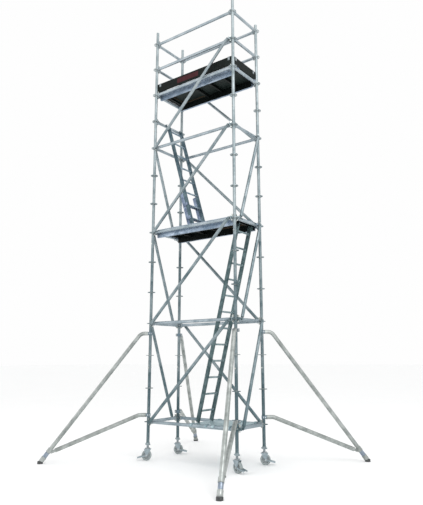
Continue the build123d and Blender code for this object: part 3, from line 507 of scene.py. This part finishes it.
def hexagon(shape, radius, height, place):
    """A bolt head or nut on place's origin, with the chamfer that its forging die leaves."""
    profile = [(0, 0), (radius, 0), (radius, 0.8 * height), (0.82 * radius, height), (0, height)]
    lathe(shape, profile, place, steps=6)


def washer(shape, radius, thick, place, steps=32, hole=0):
    """A plain washer on place's origin."""
    lathe(shape, [(hole, 0), (radius, 0), (radius, thick), (hole, thick)], place, steps)


def spaced(low, high, count):
    """This many places, equally far apart, from low to high."""
    return [low + number * (high - low) / (count - 1) for number in range(count)]


def upright_through(node):
    """A matrix on the ground under the middle of a CAD node's box."""
    low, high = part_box(node)
    return Matrix.Translation(((low.x + high.x) / 2, (low.y + high.y) / 2, 0))


# %% [markdown]
# ## Screw jacks
# Each post stands on a screw jack, which levels the tower: a trapezoid thread of 8 mm pitch on a
# 38 mm stem. A texture can't give a thread's saw-toothed outline, so it is a real helix: rows of
# points climb one pitch in each turn, and four rows make the crest and the root. Below it are
# the flange, with four bolts, and the king pin that the caster turns on.

# %% Threads and flanges
thread_pitch = 0.008
thread_crest = 0.019
thread_root = 0.0168
stem_bore = 0.015
flange_thick = 0.008
race_gap = 0.0015
flange_bolt_circle = 0.031


def thread(shape, low, high, place, steps=24):
    profile = (thread_crest, thread_crest, thread_root, thread_root)
    rows = int((high - low) / thread_pitch + 1) * len(profile)
    grid = []
    for row in range(-len(profile), rows):
        ring = []
        for step in range(steps):
            turn = 2 * math.pi * step / steps
            height = low + thread_pitch * (row / len(profile) + step / steps)
            radius = profile[row % len(profile)]
            point = Vector((radius * math.cos(turn), radius * math.sin(turn),
                            min(max(height, low), high)))
            ring.append(shape.verts.new(place @ point))
        grid.append(ring)
    for row in range(len(grid) - 1):
        for step in range(steps - 1):
            shape.faces.new((grid[row][step], grid[row][step + 1],
                             grid[row + 1][step + 1], grid[row + 1][step]))
        if row + 1 + len(profile) < len(grid):
            shape.faces.new((grid[row][steps - 1], grid[row + len(profile)][0],
                             grid[row + 1 + len(profile)][0], grid[row + 1][steps - 1]))


for corner in corners:
    low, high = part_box(f"{corner}_jack_stem")
    place = upright_through(f"{corner}_jack_stem")
    flange_low = joints[f"{corner}_caster_swivel"]["pos_m"][2] + race_gap
    flange_high = flange_low + flange_thick
    screw = bmesh.new()
    thread(screw, flange_high, high.z, place)
    lathe(screw, [(thread_root, high.z), (stem_bore, high.z), (stem_bore, flange_high + 0.01),
                  (0, flange_high + 0.01)], place)
    lathe(screw, [(0, low.z), (0.0125, low.z), (0.013, low.z + 0.001), (0.013, low.z + 0.007),
                  (0.008, low.z + 0.007), (0.008, flange_low), (0.038, flange_low),
                  (0.04, flange_low + 0.002), (0.04, flange_high - 0.002), (0.038, flange_high),
                  (0.024, flange_high), (thread_root + 0.0005, flange_high + 0.005),
                  (0, flange_high + 0.005)], place)
    for quarter in range(4):
        turn = math.radians(45 + 90 * quarter)
        seat = (flange_bolt_circle * math.cos(turn), flange_bolt_circle * math.sin(turn), flange_high)
        hexagon(screw, 0.0065, 0.0045, place @ Matrix.Translation(seat))
    make_piece(f"{corner}_jack_screw", screw, "jack_steel", f"{corner}_jack",
               f"{corner}_jack_stem")
print("thread turns:", round((high.z - flange_high) / thread_pitch, 1))

# %% [markdown]
# ## Caster wheels
# A rubber tyre, with round shoulders and two shallow grooves, is moulded onto a hard core, which
# has a rim, a thin web with six ribs, and a hub with a dust cap. Both are lathe work, and the ribs
# are small rounded blocks. The wheel's axis comes from its joint, so the pieces turn true.

# %% Tyres and cores
wheel_radius = 0.075
wheel_half = 0.023
core_radius = 0.058
rib_count = 6

tyre_profile = [(core_radius, -0.0225), (0.066, -wheel_half), (0.071, -0.0215), (0.0742, -0.018),
                (wheel_radius, -0.013), (wheel_radius, -0.0095), (0.0735, -0.0087),
                (0.0735, -0.0073), (wheel_radius, -0.0065)]
tyre_profile = tyre_profile + [(radius, -height) for radius, height in reversed(tyre_profile)]
core_side = [(0.0, 0.0195), (0.009, 0.0195), (0.012, 0.0225), (0.020, 0.0222), (0.022, 0.019),
             (0.023, 0.010), (0.026, 0.0075), (0.046, 0.0068), (0.050, 0.0085),
             (0.052, 0.020), (0.054, 0.0222), (core_radius, 0.0225)]
core_profile = [(radius, -height) for radius, height in core_side] + core_side[::-1]

for corner in corners:
    spin = joints[f"{corner}_wheel_spin"]
    place = along(spin["axis"], spin["pos_m"])
    tyre = bmesh.new()
    lathe(tyre, tyre_profile, place, steps=64)
    make_piece(f"{corner}_tyre", tyre, "wheel_tyre", f"{corner}_wheel",
               f"{corner}_caster_wheel")
    core = bmesh.new()
    lathe(core, core_profile, place, steps=48)
    for rib in range(rib_count):
        turned = place @ Matrix.Rotation(2 * math.pi * rib / rib_count, 4, "Z")
        for face in (-1, 1):
            depths = sorted((face * 0.006, face * 0.019))
            bevelled_block(core, (0.021, -0.002, depths[0]), (0.053, 0.002, depths[1]), turned, 0.001)
    make_piece(f"{corner}_wheel_core", core, "wheel_core", f"{corner}_wheel")
print("wheels:", len(corners), "of", 2000 * wheel_radius, "mm")

# %% [markdown]
# ## Caster fittings
# The fork turns on a ball race, which shows as a rounded collar, and the axle has a washer and a nut
# on each end. The brake pedal has raised bars, so that a wet boot doesn't slip.

# %% Axle nuts, race collars and pedal bars
axle_nut_out = 0.0369
race_bead = 0.0019
pedal_droop = math.radians(14)
bar_start, bar_pitch, bar_count = 0.095, 0.011, 4
bar_wide, bar_half_length = 0.004, 0.03
bar_low, bar_high = 0.0088, 0.0106

for corner in corners:
    spin, swivel = joints[f"{corner}_wheel_spin"], joints[f"{corner}_caster_swivel"]
    axle = Vector(spin["axis"])
    fittings = bmesh.new()
    for way in (-1, 1):
        seat = along(way * axle, Vector(spin["pos_m"]) + way * axle_nut_out * axle)
        washer(fittings, 0.0125, 0.0012, seat)
        hexagon(fittings, 0.0115, 0.0075, seat)
        lathe(fittings, [(0.006, 0), (0.006, 0.0095), (0.005, 0.0105), (0, 0.0105)], seat, steps=16)
    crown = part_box(f"{corner}_caster_fork")[1].z
    race = Matrix.Translation((swivel["pos_m"][0], swivel["pos_m"][1], crown))
    ring_bead(fittings, 0.0345, race_bead, race @ Matrix.Translation((0, 0, -race_bead)), steps=48)
    make_piece(f"{corner}_fork_fittings", fittings, "pin_steel", f"{corner}_caster")

    upward = Vector((0, 0, 1))
    level = Matrix((axle.cross(upward), axle, upward)).transposed().to_4x4()
    pedal = Matrix.Translation(spin["pos_m"]) @ level @ Matrix.Rotation(pedal_droop, 4, "Y")
    bars = bmesh.new()
    for bar in range(bar_count):
        reach = bar_start + bar_pitch * bar
        bevelled_block(bars, (reach, -bar_half_length, bar_low),
                       (reach + bar_wide, bar_half_length, bar_high), pedal, 0.0007)
    make_piece(f"{corner}_pedal_bars", bars, "caster_steel", f"{corner}_brake")
print("pedal bars:", bar_count, "on each of", len(corners), "pedals")

# %% [markdown]
# ## Outrigger feet
# The foot is a rubber boot with a ribbed neck that is pushed over the tube's tip. Above the neck is
# an anodised sleeve on the tube. All three are lathe work about two axes: the boot stands
# upright, and the neck and the sleeve lie along the leaning tube.

# %% Boots, necks and sleeves
outrigger_heading = {"front_left": 225.0, "rear_right": 45.0, "front_right": -63.0, "rear_left": 117.0}
outrigger_reach = {"front_left": 1.545, "rear_right": 1.545, "front_right": 1.435, "rear_left": 1.435}
bend_reach = 0.15
tip_height = 0.06
pad_height = 0.04
upper_clamp_height = 1.9
lower_clamp_height = 0.66
neck_radius = 0.03745
neck_length = 0.04
neck_waist = neck_radius - 0.0012
tube_outside = 0.0302
sleeve_radius = 0.0322
sleeve_end = 0.117

corner_place = {}
for corner in corners:
    turn = Matrix.Rotation(math.radians(outrigger_heading[corner]), 4, "Z")
    corner_place[corner] = upright_through(f"{corner}_standard") @ turn

for corner in corners:
    reach = outrigger_reach[corner]
    up_tube = Vector((bend_reach - reach, 0, upper_clamp_height - tip_height)).normalized()
    pad_out = reach - (tip_height - pad_height / 2) * up_tube.x / up_tube.z
    neck_low = -(tip_height - pad_height / 2) / up_tube.z
    upright = corner_place[corner] @ Matrix.Translation((pad_out, 0, 0))
    tip = corner_place[corner] @ along(up_tube, (reach, 0, tip_height))
    boot = bmesh.new()
    lathe(boot, [(0, 0), (0.038, 0), (0.041, 0.0015), (0.042, 0.004), (0.042, 0.009), (0.0405, 0.0105),
                 (0.0405, 0.0125), (0.042, 0.014), (0.042, 0.03), (0.0395, 0.0368), (0.034, 0.0398),
                 (0, 0.04)], upright, steps=48)
    make_piece(f"{corner}_foot_boot", boot, "foot_rubber", f"{corner}_outrigger",
               f"{corner}_outrigger_foot")
    neck = bmesh.new()
    lathe(neck, [(0, neck_low + 0.004), (0.024, neck_low + 0.006), (0.034, neck_low + 0.016),
                 (neck_radius, neck_low + 0.03), (neck_waist, 0.006), (neck_waist, 0.012),
                 (neck_radius, 0.0135), (neck_radius, 0.0175), (neck_waist, 0.019),
                 (neck_waist, 0.025), (neck_radius, 0.0265), (neck_radius, neck_length - 0.004),
                 (neck_radius - 0.003, neck_length), (tube_outside, neck_length)], tip, steps=48)
    make_piece(f"{corner}_foot_neck", neck, "outrigger_aluminium", f"{corner}_outrigger")
    sleeve = bmesh.new()
    lathe(sleeve, [(tube_outside, neck_length + 0.001), (sleeve_radius, neck_length + 0.002),
                   (sleeve_radius, sleeve_end - 0.001), (tube_outside, sleeve_end)], tip, steps=48)
    make_piece(f"{corner}_leg_sleeve", sleeve, "leg_sleeve", f"{corner}_outrigger")
print("last outrigger slope:", round(math.degrees(math.asin(up_tube.z)), 1), "degrees")

# %% [markdown]
# ## Clamp bolts
# Two bolts close each half-shell clamp round its post, with a plain washer under each hexagon.
# The CAD heads are short cylinders, and these hexagons go round them.

# %% Clamp hexagons and washers
clamp_bolt_side = 0.0425
clamp_bolt_out = 0.016
ear_half_thick = 0.008

for corner in corners:
    bolts = bmesh.new()
    for height in (upper_clamp_height, lower_clamp_height):
        for way in (-1, 1):
            for end in (-1, 1):
                seat = corner_place[corner] @ along(
                    (end, 0, 0), (end * ear_half_thick, way * clamp_bolt_side, height))
                washer(bolts, 0.0135, 0.0016, seat, steps=24, hole=0.0062)
                hexagon(bolts, 0.0122, 0.0095, seat)
            tail = corner_place[corner] @ along((1, 0, 0), (clamp_bolt_out, way * clamp_bolt_side, height))
            lathe(bolts, [(0.0058, 0), (0.0058, 0.008), (0.005, 0.0095), (0, 0.0095)], tail, 16)
    make_piece(f"{corner}_clamp_bolts", bolts, "pin_steel", f"{corner}_outrigger")
print("clamp hexagons:", 8 * len(corners))

# %% [markdown]
# ## Welds and joint pins on the standards
# A rosette is welded to the tube above and below, with a bead that stands about 4 mm proud. Each tube
# section drops over the spigot of the one below, and a bolt through both keeps them together, with
# a hexagon and a washer on each side.

# %% Rosette beads and section bolts
ring_pitch = 0.5
bottom_ring = 0.56
ring_count = 14
rosette_half = 0.0045
tube_radius = 0.02415
section_bolts = (1.37, 3.37, 5.37)

for corner in corners:
    axis = upright_through(f"{corner}_standard")
    welds = bmesh.new()
    for ring in range(ring_count):
        for way in (-1, 1):
            height = bottom_ring + ring_pitch * ring + way * (rosette_half + 0.001)
            ring_bead(welds, tube_radius + 0.0008, 0.0034, axis @ Matrix.Translation((0, 0, height)),
                      steps=24)
    for height in section_bolts:
        for end in (-1, 1):
            seat = axis @ along((0, end, 0), (0, end * (tube_radius - 0.001), height))
            washer(welds, 0.012, 0.003, seat, steps=20)
            hexagon(welds, 0.0105, 0.009, seat)
    make_piece(f"{corner}_post_welds", welds, "wedge_steel", "tower")
print("weld beads per post:", 2 * ring_count)

# %% [markdown]
# ## Welds on the ledgers
# Each ledger's cast head is welded to its tube all the way round, about X on the long faces and
# about Y on the short ones.

# %% Ledger head beads
face_x, face_y = upright_through("rear_right_standard").translation.xy
head_end = 0.0725
ledger_rings = (0, 3, 6, 9, 11, 12, 13)

beads = bmesh.new()
for ring in ledger_rings:
    height = bottom_ring + ring_pitch * ring
    for way in (-1, 1):
        for end in (-1, 1):
            long_end = (end * (face_x - head_end - 0.0008), way * face_y, height)
            short_end = (way * face_x, end * (face_y - head_end - 0.0008), height)
            ring_bead(beads, tube_radius + 0.0006, 0.0032, along((1, 0, 0), long_end), steps=20)
            ring_bead(beads, tube_radius + 0.0006, 0.0032, along((0, 1, 0), short_end), steps=20)
make_piece("ledger_head_welds", beads, "wedge_steel", "tower")
print("ledger beads:", 8 * len(ledger_rings))

# %% [markdown]
# ## Platform beams
# The side beams are deep extrusions. The die gives them a lip along the top and bottom and two
# shallow ribs between, which stand 2 mm proud and catch the light as bright lines. Dome
# rivets join the cross beams to them.

# %% Beam ribs and rivets
rib_heights = (0.0, 0.045, 0.088, 0.129)
rib_tall = 0.006
rib_sunk, rib_proud = 0.001, 0.002
beam_depth = 0.135
beam_half = face_x - 0.04
rivet_heights = (0.03, 0.068, 0.112)
rivet_columns = 9
rivet_edge = 0.03

for name in ("deck_frame", "rest_platform_frame"):
    beam_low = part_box(name.replace("frame", "boards"))[1].z - beam_depth
    ribs = bmesh.new()
    for way in (-1, 1):
        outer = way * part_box(name)[1].y
        for rise in rib_heights:
            depths = sorted((outer - way * rib_sunk, outer + way * rib_proud))
            bevelled_block(ribs, (-beam_half, depths[0], beam_low + rise),
                           (beam_half, depths[1], beam_low + rise + rib_tall), Matrix(), 0.0009)
        for along_beam in spaced(-beam_half + rivet_edge, beam_half - rivet_edge, rivet_columns):
            for rise in rivet_heights:
                seat = along((0, way, 0), (along_beam, outer, beam_low + rise))
                lathe(ribs, [(0.005, 0), (0.0045, 0.0012), (0.0028, 0.0021), (0, 0.0025)], seat, 12)
    make_piece(f"{name}_ribs", ribs, "platform_aluminium", "tower")
print("ribs:", len(rib_heights), "and rivets:", rivet_columns * len(rivet_heights), "on each beam")

# %% [markdown]
# ## Deck screws
# Countersunk screws hold the plywood to the cross beams, every 150 mm or so, in a row at each end
# and one on the side away from the hatch. A countersunk head is a shallow dish with a recess, and
# a little proud here, so that its rim shows.

# %% Screw rows
least_screw_spacing = 0.12
screw_edge_x, screw_edge_y = 0.02, 0.03
screw_row_x = 0.33

for name in ("deck_boards", "rest_platform_boards"):
    low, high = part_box(name)
    count = int((high.y - low.y - 2 * screw_edge_y) / least_screw_spacing) + 1
    screws = bmesh.new()
    hatch_low, hatch_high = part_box(name.replace("boards", "hatch"))
    plain_side = -math.copysign(screw_row_x, hatch_low.x + hatch_high.x)
    screw_rows = (low.x + screw_edge_x, high.x - screw_edge_x, plain_side)
    for along_deck in screw_rows:
        for across in spaced(low.y + screw_edge_y, high.y - screw_edge_y, count):
            seat = Matrix.Translation((along_deck, across, high.z))
            lathe(screws, [(0.0055, -0.0005), (0.0055, 0.0003), (0.0048, 0.0006), (0.0024, 0.0004),
                           (0.002, -0.0008), (0, -0.0008)], seat, 12)
    make_piece(f"{name}_screws", screws, "pin_steel", "tower")
print("screws per deck:", count * len(screw_rows))

# %% [markdown]
# ## Hatch handles
# A climber pulls the hatch shut from above by a drop ring, on a small plate with four screws. The
# ring lies flat, and is made by following a loop of points with a round section.

# %% Drop rings
def wire(shape, path, radius, sides=8):
    """A closed round wire along a loop of points."""
    rings = []
    count = len(path)
    for index, point in enumerate(path):
        forward = (path[(index + 1) % count] - path[index - 1]).normalized()
        place = along(forward, point)
        rings.append([shape.verts.new(place @ Vector((radius * math.cos(2 * math.pi * s / sides),
                                                      radius * math.sin(2 * math.pi * s / sides), 0)))
                      for s in range(sides)])
    for index in range(count):
        for s in range(sides):
            shape.faces.new((rings[index][s], rings[index][(s + 1) % sides],
                             rings[(index + 1) % count][(s + 1) % sides], rings[(index + 1) % count][s]))


handle_from_edge = 0.07
hatch_bodies = {"deck_hatch": "deck_hatch_lid", "rest_platform_hatch": "rest_hatch"}
for name, body in hatch_bodies.items():
    low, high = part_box(name)
    lid_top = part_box(name.replace("hatch", "boards"))[1].z
    centre = Vector(((low.x + high.x) / 2, low.y + handle_from_edge, lid_top))
    handle = bmesh.new()
    bevelled_block(handle, centre + Vector((-0.045, -0.02, 0)), centre + Vector((0.045, 0.03, 0.002)),
                   Matrix(), 0.0008)
    for end_x in (-0.036, 0.036):
        for end_y in (-0.012, 0.022):
            seat = Matrix.Translation(centre + Vector((end_x, end_y, 0.0019)))
            lathe(handle, [(0.0045, 0), (0.004, 0.0012), (0.002, 0.0016), (0, 0.0016)], seat, 12)
    ring = [centre + Vector((0.022 * math.cos(t), -0.012 + 0.018 * math.sin(t), 0.0065))
            for t in (2 * math.pi * step / 24 for step in range(24))]
    wire(handle, ring, 0.0028)
    bevelled_block(handle, centre + Vector((-0.012, -0.001, 0.001)), centre + Vector((0.012, 0.011, 0.0105)),
                   Matrix(), 0.0015)
    make_piece(f"{name}_drop_ring", handle, "pin_steel", body)
print("hatch handles:", len(hatch_bodies))

# %% [markdown]
# ## Ladder rung collars
# Each rung is swaged into the stile, which leaves a rounded collar on the stile's inner face, and
# has fine grooves for grip. The ladders lean, so the rungs' places are measured from the CAD: each
# separate shell of the mesh with a rung's width is a rung.

# %% Find the rungs and swage them
rung_width = 0.31
rung_radius = 0.014
groove_pitch = 0.022


def islands(node):
    """Low and high corners of each separate shell in a CAD node's mesh."""
    shape = bmesh.new()
    shape.from_mesh(frame["nodes"][node].data)
    bmesh.ops.remove_doubles(shape, verts=shape.verts, dist=0.00001)
    waiting, found = set(shape.verts), []
    while waiting:
        shell, edge_of_search = set(), [waiting.pop()]
        while edge_of_search:
            vertex = edge_of_search.pop()
            shell.add(vertex)
            near = [edge.other_vert(vertex) for edge in vertex.link_edges]
            edge_of_search += [v for v in near if v in waiting]
            waiting.difference_update(near)
        found.append([Vector(pick(v.co[i] for v in shell) for i in range(3)) for pick in (min, max)])
    shape.free()
    return sorted(found, key=lambda corners_found: tuple(corners_found[0]))


for name in ("lower_ladder", "upper_ladder", "upper_ladder_foot"):
    collars = bmesh.new()
    rungs = [shell for shell in islands(name) if abs(shell[1].y - shell[0].y - rung_width) < 0.002]
    for low, high in rungs:
        middle = (low + high) / 2
        for end, inward in ((low.y, 1), (high.y, -1)):
            seat = along((0, inward, 0), (middle.x, end, middle.z))
            lathe(collars, [(0.0215, -0.0005), (0.021, 0.002), (0.018, 0.0045), (0.0152, 0.006),
                            (rung_radius, 0.0062)], seat, 24)
        for groove in range(-5, 6):
            seat = along((0, 1, 0), (middle.x, middle.y + groove_pitch * groove, middle.z))
            ring_bead(collars, rung_radius, 0.0009, seat, steps=20, sides=4)
    finish = ladder_finishes.get(name, "ladder_aluminium")
    make_piece(f"{name}_collars", collars, finish, "tower")
    print(name, "rungs:", len(rungs))

# %% [markdown]
# ## Base plank dimples
# The steel planks at the foot of the ladder are pressed sheet with rows of raised dimples, so that
# boots hold. Each dimple is a small turned crater. The rows leave the planks' hooks and the
# ladder's feet clear.

# %% Punch the planks
plank_low, plank_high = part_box("base_planks")
plank_top = bottom_ring + 0.02
plank_run = 0.28
dimple_step = 0.055
dimple_edge = 0.04
ladder_foot_length = 0.085
ladder_foot_sides = (0.12, 0.21)

craters = bmesh.new()
columns = int((plank_high.x - plank_low.x - 2 * dimple_edge) / dimple_step) + 1
rows = int(2 * plank_run / dimple_step) + 1
for x in spaced(plank_low.x + dimple_edge, plank_high.x - dimple_edge, columns):
    for y in spaced(-plank_run, plank_run, rows):
        beside = ladder_foot_sides[0] < abs(y) < ladder_foot_sides[1]
        if not (beside and x < plank_low.x + ladder_foot_length):
            lathe(craters, [(0.0095, -0.0003), (0.008, 0.0012), (0.0065, 0.0018), (0.005, 0.0012),
                            (0.0045, -0.0004), (0, -0.0004)],
                  Matrix.Translation((x, y, plank_top)), 12)
make_piece("base_plank_dimples", craters, "plank_steel", "tower")
print("dimples:", columns, "by", rows)

# %% [markdown]
# ## Toe board bolts
# A coach bolt, with a dome on each side, holds each galvanised clip on the toe boards. The clips'
# places come from the separate shells of the clips' mesh.

# %% Coach bolts
bolts = bmesh.new()
clips = islands("toe_board_clips")
for low, high in clips:
    middle = (low + high) / 2
    thin_axis = 0 if high.x - low.x < high.y - low.y else 1
    out = Vector((0, 0, 0))
    out[thin_axis] = math.copysign(1, middle[thin_axis])
    reach = (high - low)[thin_axis] / 2
    for way in (-1, 1):
        seat = along(way * out, middle + way * out * reach + Vector((0, 0, -0.008)))
        lathe(bolts, [(0.009, 0), (0.0082, 0.0018), (0.0055, 0.0034), (0, 0.0042)], seat, 20)
make_piece("toe_board_bolts", bolts, "pin_steel", "tower")
print("clips:", len(clips))

# %% [markdown]
# ## Floor and light
# A plain pale floor and soft light show the tower as in a catalogue. The world gives even light and a
# near-white ground behind, a large soft box stands to the right and in front, and a weaker one
# lifts the left side. Tubes look round because the light from the right is the stronger.

# %% Floor
floor_material = bpy.data.materials.new("pale_floor")
floor_material.use_nodes = True
floor_tree = floor_material.node_tree
floor_shader = floor_tree.nodes["Principled BSDF"]
floor_shader.inputs["Roughness"].default_value = 0.9
floor_shader.inputs["Specular IOR Level"].default_value = 0.1
floor_grain = add(floor_tree, "TexNoise", {"Scale": 0.6, "Detail": 3.0},
                  {"Vector": add(floor_tree, "TexCoord").outputs["Object"]})
floor_tone = add(floor_tree, "Mix",
                 {"data_type": "RGBA", 6: colour("#fcfdfd"), 7: colour("#ffffff")},
                 {0: floor_grain.outputs["Fac"]})
floor_tree.links.new(floor_tone.outputs[2], floor_shader.inputs["Base Color"])

floor_mesh = bpy.data.meshes.new("floor")
floor_half = 120.0
floor_mesh.from_pydata([(-floor_half, -floor_half, 0), (floor_half, -floor_half, 0),
                        (floor_half, floor_half, 0), (-floor_half, floor_half, 0)], [], [(0, 1, 2, 3)])
floor_mesh.materials.append(floor_material)
floor = bpy.data.objects.new("floor", floor_mesh)
scene.collection.objects.link(floor)

# %% World and soft boxes
scene.view_settings.view_transform = "Standard"
world = bpy.data.worlds.new("studio")
scene.world = world
world.use_nodes = True
world_tree = world.node_tree
backdrop = world_tree.nodes["Background"]
backdrop.inputs["Color"].default_value = colour("#fdfdfd")
backdrop.inputs["Strength"].default_value = 1.0
seen = add(world_tree, "Background", {"Color": colour("#fefefe"), "Strength": 1.0})
rays = add(world_tree, "LightPath")
both = add(world_tree, "MixShader", {},
           {0: rays.outputs["Is Camera Ray"], 1: backdrop.outputs["Background"],
            2: seen.outputs["Background"]})
world_tree.links.new(both.outputs["Shader"], world_tree.nodes["World Output"].inputs["Surface"])

tower_middle = Vector((0, 0, 3.4))
soft_boxes = {"key_box": ((7.0, -4.0, 8.5), 5.0, 300.0), "left_box": ((-7.5, -6.0, 5.0), 5.0, 90.0)}
for name, (stand, size, power) in soft_boxes.items():
    light = bpy.data.lights.new(name, "AREA")
    light.shape = "SQUARE"
    light.size = size
    light.energy = power
    lamp = bpy.data.objects.new(name, light)
    lamp.matrix_world = along(Vector(stand) - tower_middle, stand)
    scene.collection.objects.link(lamp)
print("soft boxes:", len(soft_boxes))
